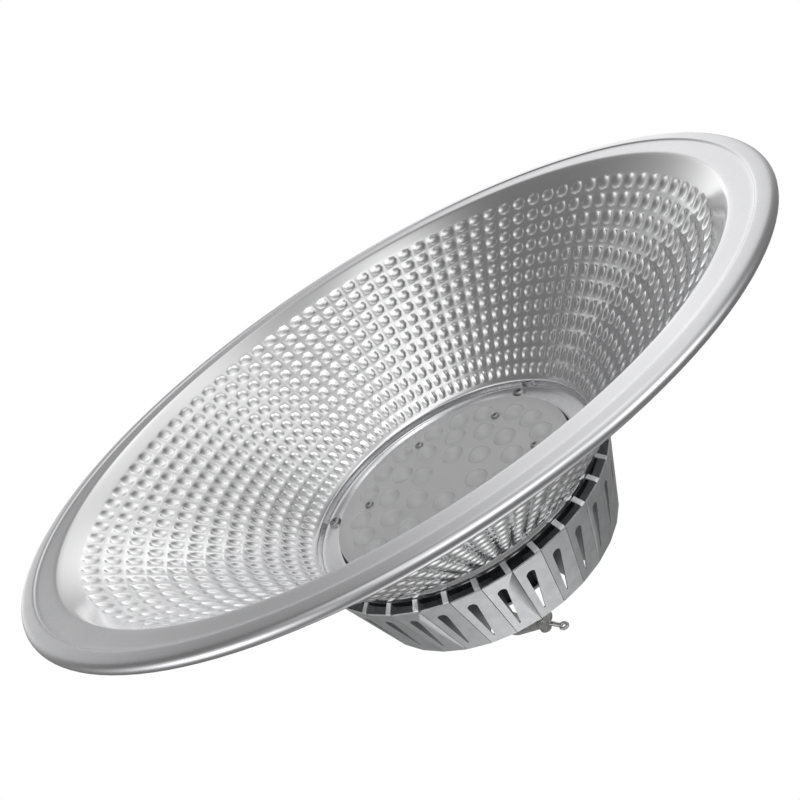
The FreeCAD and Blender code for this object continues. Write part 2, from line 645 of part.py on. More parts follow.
gland_nut = less("gland_nut", nut_blank, [
    cylinder("gland_neck_radius", "gland_neck + gland_seal + 1",
             dict(gland_spot, z="gland_neck_height - gland_neck - 1")),
    cylinder("gland_bore_radius", "gland_nut_end + 4",
             dict(gland_spot, z="gland_neck_height + gland_seal - 1"))])

# ---------------------------------------------------------------- hanger
stem_blank = turned("StemBlank", [
    (0, "cover_top_height - stud_length"), ("stud_radius", "cover_top_height - stud_length"),
    ("stud_radius", "cover_top_height"), ("stem_foot_radius", "cover_top_height"),
    ("stem_foot_radius", "cover_top_height + stem_foot * 0.6"),
    ("stem_radius", "cover_top_height + stem_foot"), ("stem_radius", "hook_seat_height"),
    ("stud_radius", "hook_seat_height"), ("stud_radius", "stud_top_height"),
    ("stem_bore_radius", "stud_top_height"),
    ("stem_bore_radius", "stud_top_height - stem_bore"),
    (0, "stud_top_height - stem_bore - stem_bore_radius / 2")])
stem_blank.Label = "suspension_stem"
nut_seats = ["cover_seat_height - stud_nut", "hook_seat_height + hook_sheet"]
stem_nuts = less("stem_nuts",
                 united("NutBlanks", [hexagon("stud_nut_flats", "stud_nut", dict(z=low))
                                      for low in nut_seats]),
                 [cylinder("stud_radius", "stud_nut + 2", dict(z=low + " - 1"))
                  for low in nut_seats])


def hook_solid_parts():
    """The hook's flat strip bent round three sides, and its two round ends."""
    turn = "hook_azimuth"
    low = "hook_seat_height"
    high = "hook_top_height"
    height = "(%s - %s)" % (high, low)
    strip = doc.addObject("PartDesign::Body", "HookStrip")
    profile = sketch_on(strip, "XZ_Plane", "HookProfile")
    outline(profile, [
        (0, low), ("hook_reach - hook_bend_radius", low),
        ("hook_reach - 0.3 * hook_bend_radius", low + " + 0.3 * hook_bend_radius"),
        ("hook_reach", low + " + hook_bend_radius"),
        ("hook_reach", high + " - hook_bend_radius"),
        ("hook_reach - 0.3 * hook_bend_radius", high + " - 0.3 * hook_bend_radius"),
        ("hook_reach - hook_bend_radius", high), (0, high), (0, high + " - hook_sheet"),
        ("hook_reach - hook_bend_radius", high + " - hook_sheet"),
        ("hook_reach - hook_sheet", high + " - hook_bend_radius"),
        ("hook_reach - hook_sheet", low + " + hook_bend_radius"),
        ("hook_reach - hook_bend_radius", low + " + hook_sheet"), (0, low + " + hook_sheet")])
    pad = strip.newObject("PartDesign::Pad", "HookPad")
    pad.Profile = profile
    pad.Midplane = True
    pad.setExpression("Length", formula("hook_width"))
    strip.Tip = pad
    bind(strip, dict(turn=turn))
    ends = [cylinder("hook_width / 2", "hook_sheet", dict(z=low)),
            cylinder("hook_width / 2", "hook_sheet", dict(z=high + " - hook_sheet"))]
    return united("HookSolid", [strip] + ends)


hanger_hook = less("hanger_hook", hook_solid_parts(), [
    cylinder("stud_radius + stud_clearance", "hook_sheet + 2", dict(z="hook_seat_height - 1")),
    cylinder("pin_radius + hook_hole_clearance", "hook_sheet + 2",
             dict(z="hook_top_height - hook_sheet - 1"))])
pin_blank = turned("PinBlank", [
    (0, "stud_top_height - pin_tail"),
    ("pin_tail_radius - 0.5", "stud_top_height - pin_tail"),
    ("pin_tail_radius", "stud_top_height - pin_tail + 0.5"),
    ("pin_tail_radius", "stud_top_height"), ("pin_radius", "stud_top_height"),
    ("pin_radius", "pin_top_height - pin_chamfer"),
    ("pin_radius - pin_chamfer", "pin_top_height"), (0, "pin_top_height")])


def crosswise(item, start):
    """Lay a cylinder along the split pin's line, starting at a distance from the axis."""
    lay = Rotation(UP, size.split_pin_azimuth) * Rotation(Vector(0, 1, 0), 90)
    item.Placement = Placement(Vector(), lay)
    return bind(item, dict(x="(%s) * cos(split_pin_azimuth)" % start,
                           y="(%s) * sin(split_pin_azimuth)" % start, z="split_pin_height"))


cross_bore = doc.addObject("Part::Cylinder", "CrossBore")
bind(crosswise(cross_bore, "-2 * pin_radius"),
     Radius="split_pin_radius + split_pin_clearance", Height="4 * pin_radius")
hanger_pin = less("hanger_pin", pin_blank, [cross_bore])
leg = doc.addObject("Part::Cylinder", "SplitPinLeg")
bind(crosswise(leg, "-split_pin_tail"),
     Radius="split_pin_radius", Height="split_pin_tail + split_pin_head")
eye = doc.addObject("Part::Torus", "SplitPinEye")
bind(eye, around("(split_pin_head + split_pin_eye_radius - 1)", "split_pin_azimuth",
                 z="split_pin_height"),
     Radius1="split_pin_eye_radius - 0.7 * split_pin_radius", Radius2="0.7 * split_pin_radius")
split_pin = united("split_pin", [leg, eye])

# ---------------------------------------------------------------- check and write
doc.recompute()
PIECES = {
    "reflector": reflector, "reflector_screws": reflector_screws, "lens_plate": lens_plate,
    "lens_gasket": lens_gasket, "lens_screws": lens_screws, "led_board": led_board,
    "thermal_pad": thermal_pad, "core_body": core_body, "driver_board": driver_board,
    "driver_transformer": driver_transformer, "driver_capacitor": driver_capacitor,
    "terminal_block": terminal_block, "driver_screws": driver_screws,
    "back_cover": back_cover, "cover_gasket": cover_gasket, "cover_screws": cover_screws,
    "gland_body": gland_body, "gland_nut": gland_nut, "gland_seal": gland_seal,
    "suspension_stem": stem_blank, "stem_nuts": stem_nuts, "hanger_hook": hanger_hook,
    "hanger_pin": hanger_pin, "split_pin": split_pin,
}
PIECES.update({"fin_%02d" % n: fin for n, fin in enumerate(fins, start=1)})

for item in doc.Objects:
    if "Invalid" in item.State or "Error" in item.State:
        raise RuntimeError("%s did not build: %s" % (item.Name, item.State))
os.makedirs("parts", exist_ok=True)
for name, piece in PIECES.items():
    piece.Label = name
    if piece.Shape.isNull() or not piece.Shape.isValid() or not piece.Shape.Solids:
        raise RuntimeError("%s is not a sound solid" % name)
    piece.Shape.exportStep("parts/%s.step" % name)
    print("%-20s %3d solids  %9.1f mm3" % (name, len(piece.Shape.Solids), piece.Shape.Volume))
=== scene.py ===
"""Looks of the high bay light: smooth dimpled reflector, folded fins, lens array and hanger."""

import logging
import math
from dataclasses import dataclass, field
from enum import Enum
from typing import Any, Callable, Optional, Sequence

import bmesh
import bpy
from mathutils import Matrix, Vector


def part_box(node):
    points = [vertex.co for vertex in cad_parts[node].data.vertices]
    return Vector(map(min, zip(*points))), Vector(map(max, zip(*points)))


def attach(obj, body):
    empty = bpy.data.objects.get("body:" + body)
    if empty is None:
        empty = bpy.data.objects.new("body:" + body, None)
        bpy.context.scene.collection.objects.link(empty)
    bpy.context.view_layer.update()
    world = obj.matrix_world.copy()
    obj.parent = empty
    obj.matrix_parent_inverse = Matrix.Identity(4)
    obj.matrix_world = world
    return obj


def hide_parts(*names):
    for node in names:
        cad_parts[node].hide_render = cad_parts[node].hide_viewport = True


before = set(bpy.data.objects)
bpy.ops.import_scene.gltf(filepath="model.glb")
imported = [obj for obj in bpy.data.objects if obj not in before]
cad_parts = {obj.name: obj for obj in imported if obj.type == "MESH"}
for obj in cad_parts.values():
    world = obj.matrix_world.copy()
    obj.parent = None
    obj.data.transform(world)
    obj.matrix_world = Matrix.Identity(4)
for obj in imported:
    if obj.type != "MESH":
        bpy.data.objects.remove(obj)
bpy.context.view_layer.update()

log = logging.getLogger("high_bay_light")
MM = 0.001
Point = tuple[float, float]


# ------------------------------------------------------------------ small tools
def rgb(code: str) -> tuple[float, float, float, float]:
    """Turn an sRGB hex code into linear colour.

    Args:
        code: six hex digits, such as "C8C8CA".

    Returns:
        Linear red, green, blue and an alpha of one.
    """
    parts = [int(code[i:i + 2], 16) / 255 for i in (0, 2, 4)]
    linear = [p / 12.92 if p <= 0.04045 else ((p + 0.055) / 1.055) ** 2.4 for p in parts]
    return linear[0], linear[1], linear[2], 1.0


def deselect() -> None:
    """Leave edit mode and drop every selection."""
    if bpy.context.object and bpy.context.object.mode != "OBJECT":
        bpy.ops.object.mode_set(mode="OBJECT")
    bpy.ops.object.select_all(action="DESELECT")


def edit(piece: bpy.types.Object, mode: str = "FACE") -> None:
    """Open a piece for editing with nothing selected.

    Args:
        piece: the object to edit.
        mode: the kind of element to select next: VERT, EDGE or FACE.
    """
    deselect()
    piece.select_set(True)
    bpy.context.view_layer.objects.active = piece
    bpy.ops.object.mode_set(mode="EDIT")
    bpy.ops.mesh.select_mode(type=mode)
    bpy.ops.mesh.select_all(action="DESELECT")


def pick(piece: bpy.types.Object, test: Callable[[Vector], bool], kind: str = "faces") -> int:
    """Select faces, edges or verts of the piece in edit mode by where they lie.

    Args:
        piece: the object in edit mode.
        test: says whether an element centred at a point is wanted.
        kind: faces, edges or verts.

    Returns:
        How many were selected.
    """
    mesh = bmesh.from_edit_mesh(piece.data)
    count = 0
    for item in getattr(mesh, kind):
        if kind == "faces":
            spot = item.calc_center_median()
        elif kind == "edges":
            spot = (item.verts[0].co + item.verts[1].co) / 2
        else:
            spot = item.co
        if test(spot):
            item.select_set(True)
            count += 1
    mesh.select_flush_mode()
    bmesh.update_edit_mesh(piece.data)
    return count


def finish_modifiers(piece: bpy.types.Object) -> None:
    """Apply every modifier of the piece in order.

    Args:
        piece: the object whose modifiers are applied.
    """
    deselect()
    piece.select_set(True)
    bpy.context.view_layer.objects.active = piece
    for modifier in list(piece.modifiers):
        bpy.ops.object.modifier_apply(modifier=modifier.name)


def settle(piece: bpy.types.Object, name: str) -> bpy.types.Object:
    """Name the piece and put its place into its mesh.

    Args:
        piece: the object, which ends at the origin, unturned and unscaled.
        name: the name for the object and its mesh.

    Returns:
        The same object.
    """
    deselect()
    piece.select_set(True)
    bpy.context.view_layer.objects.active = piece
    bpy.ops.object.transform_apply(location=True, rotation=True, scale=True)
    piece.name = name
    piece.data.name = name
    return piece


def radius_of(spot: Vector) -> float:
    """Distance from the light's axis."""
    return math.hypot(spot.x, spot.y)


# ------------------------------------------------------------------ finishes
class Tree:
    """A material's node tree with one short call to add a node."""

    def __init__(self, name: str) -> None:
        """Make a fresh material with a Principled surface.

        Args:
            name: the material's name.
        """
        self.material = bpy.data.materials.new(name)
        self.material.use_nodes = True
        self.nodes = self.material.node_tree.nodes
        self.links = self.material.node_tree.links
        self.surface = self.nodes["Principled BSDF"]
        self.place = self.add("TexCoord").outputs["Object"]

    def add(self, kind: str, settings: Optional[dict[str, Any]] = None, **inputs: Any) -> Any:
        """Add a shader node, set its properties and feed its inputs.

        Args:
            kind: the node's type without the ShaderNode prefix.
            settings: properties of the node itself.
            inputs: values or sockets for the inputs, spaces written as underscores,
                or in0, in1, in2 for inputs that share a name.

        Returns:
            The new node.
        """
        item = self.nodes.new("ShaderNode" + kind)
        for key, value in (settings or {}).items():
            setattr(item, key, value)
        for key, value in inputs.items():
            if key[:2] == "in" and key[2:].isdigit():
                socket = item.inputs[int(key[2:])]
            else:
                socket = item.inputs[key.replace("_", " ")]
            self.feed(socket, value)
        return item

    def feed(self, socket: Any, value: Any) -> None:
        """Set a socket to a value or link another node's output to it.

        Args:
            socket: the input to feed.
            value: a plain value, or the output socket to link.
        """
        if isinstance(value, bpy.types.NodeSocket):
            self.links.new(value, socket)
        else:
            socket.default_value = value

    def sum(self, operation: str, first: Any, second: Any = 0.0, third: Any = 0.0) -> Any:
        """Result socket of a Math node."""
        return self.add("Math", {"operation": operation}, in0=first, in1=second,
                        in2=third).outputs[0]

    def ramp(self, value: Any, low: float, high: float, start: float = 0.0,
             end: float = 1.0) -> Any:
        """Clamped linear change of a value from one range to another.

        Args:
            value: the value or socket to change.
            low: where the change begins.
            high: where the change ends.
            start: the result at low.
            end: the result at high.

        Returns:
            The result socket.
        """
        item = self.add("MapRange", {"interpolation_type": "LINEAR", "clamp": True},
                        in0=value, in1=low, in2=high, in3=start, in4=end)
        return item.outputs[0]

    def blend(self, share: Any, first: Any, second: Any) -> Any:
        """Mix two colours by a share.

        Args:
            share: how much of the second colour, from 0 to 1.
            first: the first colour.
            second: the second colour.

        Returns:
            The colour socket.
        """
        item = self.add("Mix", {"data_type": "RGBA"})
        self.feed(item.inputs[0], share)
        self.feed(item.inputs[6], first)
        self.feed(item.inputs[7], second)
        return item.outputs[2]

    def noise(self, scale_mm: float, detail: float = 2.0, place: Any = None) -> Any:
        """Noise whose grain has a real size.

        Args:
            scale_mm: about how wide a grain is.
            detail: how many finer layers are added.
            place: coordinates other than the object's own.

        Returns:
            The noise socket, from 0 to 1.
        """
        item = self.add("TexNoise", Vector=place or self.place, Scale=1 / (scale_mm * MM),
                        Detail=detail)
        return item.outputs[0]

    def polar(self) -> tuple[Any, Any]:
        """Where a point lies about the light's axis.

        Returns:
            Sockets with the distance from the axis and the height, in metres.
        """
        parts = self.add("SeparateXYZ", Vector=self.place)
        flat = self.add("CombineXYZ", X=parts.outputs[0], Y=parts.outputs[1])
        length = self.add("VectorMath", {"operation": "LENGTH"}, in0=flat.outputs[0])
        return length.outputs["Value"], parts.outputs[2]

    def bump(self, height: Any, depth_mm: float, strength: float = 1.0) -> None:
        """Raise the surface by a height field that is depth_mm deep."""
        item = self.add("Bump", Height=height, Strength=strength, Distance=depth_mm * MM)
        self.feed(self.surface.inputs["Normal"], item.outputs[0])


@dataclass(frozen=True)
class Metal:
    """A bare metal finish: soft clouds in its tone and a fine grain in its gloss."""

    name: str
    tone: str
    dark: str
    roughness: float
    grain_mm: float = 3.0
    relief_mm: float = 0.01
    cloud_grains: float = 4.0
    fine_grains: float = 3.0

    def make(self) -> bpy.types.Material:
        """Build the material.

        Returns:
            The new material.
        """
        tree = Tree(self.name)
        cloud = tree.noise(self.grain_mm * self.cloud_grains, 3.0)
        fine = tree.noise(self.grain_mm / self.fine_grains, 2.0)
        share = tree.ramp(cloud, 0.35, 0.65)
        tree.feed(tree.surface.inputs["Base Color"],
                  tree.blend(share, rgb(self.dark), rgb(self.tone)))
        tree.surface.inputs["Metallic"].default_value = 1.0
        tree.feed(tree.surface.inputs["Roughness"],
                  tree.ramp(fine, 0.3, 0.7, self.roughness * 0.85, self.roughness * 1.15))
        tree.bump(fine, self.relief_mm)
        return tree.material


@dataclass(frozen=True)
class SpunAluminium:
    """Spun aluminium, bright dipped.

    The cone mirrors the studio softly, patch by patch, while the flange and the seat are a
    satin grey with fine turning lines.
    """

    name: str = "spun aluminium, bright dipped"
    cone: str = "F1F1F2"
    satin: str = "E8E8EA"
    satin_start: float = 187.0
    seat_start: float = 102.8
    collar_start: float = 98.0
    edge: float = 0.4
    # Turning lines are nearer 0.1 mm apart: they are drawn coarser so that they show.
    line_mm: float = 0.35
    line_depth: float = 0.02
    patch_mm: float = 28.0
    smooth: float = 0.08
    dull: float = 0.13
    satin_dulling: float = 0.16

    def make(self) -> bpy.types.Material:
        """Build the material with its turning lines.

        Returns:
            The new material.
        """
        tree = Tree(self.name)
        radius, height = tree.polar()
        flange = tree.ramp(radius, (self.satin_start - self.edge) * MM, self.satin_start * MM)
        seat = tree.ramp(height, (self.seat_start - self.edge) * MM, self.seat_start * MM)
        satin = tree.sum("MAXIMUM", flange, seat)
        collar = tree.ramp(height, (self.collar_start - 1.0) * MM, self.collar_start * MM)
        turned = tree.sum("MAXIMUM", flange, collar)
        along = tree.add("CombineXYZ", X=radius, Y=height)
        lines = tree.noise(self.line_mm, 1.0, along.outputs[0])
        patches = tree.noise(self.patch_mm, 2.0)
        tone = tree.blend(satin, rgb(self.cone), rgb(self.satin))
        tree.feed(tree.surface.inputs["Base Color"], tone)
        tree.surface.inputs["Metallic"].default_value = 1.0
        base = tree.ramp(patches, 0.3, 0.7, self.smooth, self.dull)
        rough = tree.sum("MULTIPLY_ADD", satin, self.satin_dulling, base)
        tree.feed(tree.surface.inputs["Roughness"], rough)
        tree.bump(tree.sum("MULTIPLY", lines, turned), self.line_depth)
        return tree.material


@dataclass(frozen=True)
class ClearAcrylic:
    """Moulded acrylic, clear with a milky depth.

    Its gloss draws each dome's edge, and its depth softens the LED board behind it.
    """

    name: str = "moulded acrylic, milky clear"
    tint: str = "F6F6F7"
    clarity: float = 0.3
    index: float = 1.49
    roughness: float = 0.12
    ripple_mm: float = 9.0
    ripple_depth: float = 0.01

    def make(self) -> bpy.types.Material:
        """Build the material.

        Returns:
            The new material.
        """
        tree = Tree(self.name)
        surface = tree.surface
        surface.inputs["Base Color"].default_value = rgb(self.tint)
        surface.inputs["Transmission Weight"].default_value = self.clarity
        surface.inputs["IOR"].default_value = self.index
        surface.inputs["Roughness"].default_value = self.roughness
        tree.bump(tree.noise(self.ripple_mm, 1.0), self.ripple_depth)
        return tree.material


@dataclass(frozen=True)
class Moulded:
    """A moulded or coated surface that is not metal: a soft gloss broken by a fine grain."""

    name: str
    tone: str
    roughness: float
    grain_mm: float = 0.6
    relief_mm: float = 0.02
    cloud_grains: float = 12.0
    shading: float = 0.9

    def make(self) -> bpy.types.Material:
        """Build the material.

        Returns:
            The new material.
        """
        tree = Tree(self.name)
        fine = tree.noise(self.grain_mm, 2.0)
        tone = rgb(self.tone)
        shade = (*(part * self.shading for part in tone[:3]), 1.0)
        tree.feed(tree.surface.inputs["Base Color"],
                  tree.blend(tree.noise(self.grain_mm * self.cloud_grains), shade, tone))
        tree.surface.inputs["Roughness"].default_value = self.roughness
        tree.bump(fine, self.relief_mm)
        return tree.material


@dataclass(frozen=True)
class LedBoard:
    """White solder mask with pale yellow LED packages that stand in front of it.

    Through the lens plate the board is an even pale grey with a warm spot in each dome.
    """

    name: str = "LED board, white solder mask"
    mask: str = "D2D2D1"
    phosphor: str = "E9DFB4"
    face_mm: float = 103.5
    package_mm: float = 0.1
    edge: float = 0.02
    roughness: float = 0.4
    grain_mm: float = 0.8
    relief_mm: float = 0.01

    def make(self) -> bpy.types.Material:
        """Build the material; the packages are told by their height.

        Returns:
            The new material.
        """
        tree = Tree(self.name)
        _, height = tree.polar()
        front = self.face_mm - self.package_mm
        leds = tree.ramp(height, (front - self.edge) * MM, (front + self.edge) * MM, 1.0, 0.0)
        tree.feed(tree.surface.inputs["Base Color"],
                  tree.blend(leds, rgb(self.mask), rgb(self.phosphor)))
        tree.surface.inputs["Roughness"].default_value = self.roughness
        tree.bump(tree.noise(self.grain_mm), self.relief_mm)
        return tree.material


class Finish(Enum):
    """Every finish of the light."""

    SPUN = SpunAluminium()
    # Rolled and stamped sheet: a broad satin sheen that is even over each folded panel.
    FIN = Metal("fin sheet, stamped satin aluminium", "EEEFF0", "E2E3E4", 0.46, 2.0, 0.01)
    # Cast skin: a darker grey than bare casting and dull; part of that darkness is painted shade,
    # so that the gaps between the fins look deep.
    CAST = Metal("die cast aluminium, darkened as gap shade", "505254", "444648", 0.55, 1.2, 0.05)
    # Rolled sheet: satin with faint clouds, a shade darker than the fins.
    COVER = Metal("cover sheet, satin aluminium", "D4D6D8", "C6C8CA", 0.42, 2.0, 0.02)
    # Zinc plate: a cool grey sparkle on small heads, with spangled tone.
    ZINC = Metal("zinc plated screws", "B9B9B8", "98989A", 0.3, 0.8, 0.01)
    # Zinc plate on formed bar: pale with soft highlights along the bends.
    HANGER = Metal("zinc plated hanger steel", "DADAD8", "C2C2C2", 0.34, 1.5, 0.02)
    # Drawn wire: a bright line of light along its length.
    WIRE = Metal("bright drawn wire", "DCDCDA", "C4C4C4", 0.28, 1.0, 0.01)
    # Shrink sleeve on a can: dark blue grey with a low gloss.
    CAN = Metal("sleeved capacitor can", "3A3D4A", "2E303B", 0.4, 1.0, 0.01)
    ACRYLIC = ClearAcrylic()
    BOARD = LedBoard()
    # Solder mask: a smooth green lacquer.
    DRIVER = Moulded("driver board, green solder mask", "1F5A33", 0.35)
    # Filled silicone: a flat mid grey with no shine.
    PAD = Moulded("silicone thermal pad", "8C8E92", 0.7)
    # Silicone: near black and matt.
    SEAL = Moulded("moulded silicone seal", "17171A", 0.6)
    # Silicone: off white and matt, a pale ring round the lens plate.
    GASKET = Moulded("white silicone gasket", "C9C9C7", 0.6)
    # Nylon: black with a soft edge gloss.
    NYLON = Moulded("moulded black nylon", "151517", 0.45)
    # Nylon: a muted green with a soft gloss.
    TERMINAL = Moulded("moulded green nylon", "2E5A32", 0.4)

    def material(self) -> bpy.types.Material:
        """The finish's material, made once."""
        found = bpy.data.materials.get(self.value.name)
        return found or self.value.make()

    def put_on(self, piece: bpy.types.Object) -> None:
        """Dress a piece in this finish."""
        piece.data.materials.clear()
        piece.data.materials.append(self.material())


# ------------------------------------------------------------------ reflector
@dataclass
class Reflector:
    """The spun sheet: open hem, flat band, satin flange, dimpled cone and collar, in mm.

    Each dimple is a cell of the cone inside its land, pressed outwards down a sloped wall.
    """

    rim_radius: float = 205.0
    hem_radius: float = 2.5
    hem_return: float = 3.0
    rim_band: float = 7.5
    ridge: float = 1.0
    flange_radius: float = 187.1
    flange_rise: float = 1.0
    neck_radius: float = 89.5
    neck_height: float = 98.0
    opening: float = 77.0
    plain_rim: float = 10.0
    plain_neck: float = 2.4
    bend: float = 3.0
    rings: int = 12
    columns: int = 90
    sheet: float = 1.2
    land: float = 0.55
    wall: float = 2.0
    depth: float = 1.1
    seat: float = field(init=False)

    def __post_init__(self) -> None:
        """Take the seat's height from the CAD reflector, whose top is one sheet above it."""
        self.seat = round(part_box("reflector")[1].z / MM, 3) - self.sheet

    def cone_spot(self, slant: float) -> Point:
        """Find a place on the cone.

        Args:
            slant: the way up the cone from the flange.

        Returns:
            Radius and height there.
        """
        foot = self.ridge + self.flange_rise
        run, rise = self.flange_radius - self.neck_radius, self.neck_height - foot
        length = math.hypot(run, rise)
        return self.flange_radius - run * slant / length, foot + rise * slant / length

    def slant_length(self) -> float:
        """Length of the cone from the flange to the collar."""
        return math.hypot(self.flange_radius - self.neck_radius,
                          self.neck_height - self.ridge - self.flange_rise)

    def profile(self) -> list[Point]:
        """The visible side's outline from the hem's lip to the neck opening.

        A bend has points close by on both sides, which hold it tight when the sheet is smoothed.

        Returns:
            Radius and height of each point.
        """
        hem, top = self.rim_radius - self.hem_radius, 2 * self.hem_radius
        band = self.rim_radius - self.rim_band
        points = [(hem - self.hem_return, top), (hem - 0.6, top)]
        points += [(hem + self.hem_radius * math.cos(math.radians(a)),
                    self.hem_radius * (1 + math.sin(math.radians(a))))
                   for a in (75, 45, 15, -15, -45, -75)]
        points += [(hem - 0.2, 0.0), (band + 0.35, 0.0), (band - 0.05, 0.1),
                   (band - 0.5, self.ridge * 0.9), (band - 1.0, self.ridge),
                   (self.flange_radius + 1.2, self.ridge + self.flange_rise * 0.88),
                   (self.flange_radius + 0.2, self.ridge + self.flange_rise)]
        start, end = self.plain_rim, self.slant_length() - self.plain_neck
        points += [self.cone_spot(1.2), self.cone_spot(start - 0.6)]
        points += [self.cone_spot(start + (end - start) * n / self.rings)
                   for n in range(self.rings + 1)]
        points += self.knuckle()
        points += [(self.neck_radius, self.seat - 1.3), (self.neck_radius - 0.35, self.seat - 0.35),
                   (self.neck_radius - 1.3, self.seat), (self.opening + 0.4, self.seat),
                   (self.opening, self.seat + 0.01)]
        return points

    def knuckle(self) -> list[Point]:
        """The rounded turn from the cone into the collar.

        Returns:
            Radius and height of each point of the turn.
        """
        rise = self.neck_height - self.ridge - self.flange_rise
        turn = math.pi / 2 - math.atan2(rise, self.flange_radius - self.neck_radius)
        centre = (self.neck_radius + self.bend,
                  self.neck_height + self.bend * math.tan(turn / 2))
        return [(centre[0] + self.bend * math.cos(math.pi + turn * share),
                 centre[1] + self.bend * math.sin(math.pi + turn * share))
                for share in (1.0, 0.67, 0.33, 0.0)]

    def build(self) -> bpy.types.Object:
        """Draw the outline, spin it, press the dimples and give the sheet its thickness.

        Returns:
            The finished reflector.
        """
        spots = self.profile()
        deselect()
        first = Vector((spots[0][0] * MM, 0, spots[0][1] * MM))
        bpy.ops.mesh.primitive_plane_add(size=0.001, location=first)
        piece = settle(bpy.context.object, "reflector_shell")
        edit(piece, "VERT")
        bpy.ops.mesh.select_all(action="SELECT")
        bpy.ops.mesh.merge(type="CENTER")
        for start, end in zip(spots, spots[1:]):
            step = ((end[0] - start[0]) * MM, 0, (end[1] - start[1]) * MM)
            bpy.ops.mesh.extrude_region_move(TRANSFORM_OT_translate={"value": step})
        bpy.ops.mesh.select_all(action="SELECT")
        bpy.ops.mesh.spin(steps=self.columns, angle=2 * math.pi, center=(0, 0, 0),
                          axis=(0, 0, 1))
        bpy.ops.mesh.select_all(action="SELECT")
        bpy.ops.mesh.remove_doubles(threshold=0.00002)
        bpy.ops.mesh.normals_make_consistent(inside=False)
        self.press_dimples(piece)
        bpy.ops.object.mode_set(mode="OBJECT")
        self.face_downwards(piece)
        wall = piece.modifiers.new("sheet", "SOLIDIFY")
        wall.thickness = self.sheet * MM
        wall.offset = -1.0
        wall.use_even_offset = True
        smooth = piece.modifiers.new("smooth", "SUBSURF")
        smooth.levels = smooth.render_levels = 1
        finish_modifiers(piece)
        bpy.ops.object.shade_smooth()
        Finish.SPUN.put_on(piece)
        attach(piece, "root")
        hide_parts("reflector")
        return piece

    def face_downwards(self, piece: bpy.types.Object) -> None:
        """Make the visible side the outside of the sheet.

        Args:
            piece: the spun sheet, before it gets its thickness.
        """
        low = min(piece.data.polygons, key=lambda face: abs(face.center.z) + abs(
            radius_of(face.center) - (self.rim_radius - 5) * MM))
        if low.normal.z > 0:
            edit(piece)
            bpy.ops.mesh.select_all(action="SELECT")
            bpy.ops.mesh.flip_normals()
            bpy.ops.object.mode_set(mode="OBJECT")

    def press_dimples(self, piece: bpy.types.Object) -> None:
        """Inset every cell of the cone twice, the second time pressed outwards.

        Args:
            piece: the spun sheet, in edit mode.
        """
        low = self.cone_spot(self.plain_rim)
        high = self.cone_spot(self.slant_length() - self.plain_neck)
        bpy.ops.mesh.select_mode(type="FACE")
        bpy.ops.mesh.select_all(action="DESELECT")
        count = pick(piece, lambda spot: low[1] * MM < spot.z < high[1] * MM
                     and radius_of(spot) < low[0] * MM)
        log.info("reflector: %d dimple cells", count)
        mesh = bmesh.from_edit_mesh(piece.data)
        face = next(item for item in mesh.faces if item.select)
        inwards = face.normal.z < 0
        bpy.ops.mesh.inset(thickness=self.land * MM, depth=0, use_individual=True)
        sign = -1 if inwards else 1
        bpy.ops.mesh.inset(thickness=self.wall * MM, depth=sign * self.depth * MM,
                           use_individual=True)


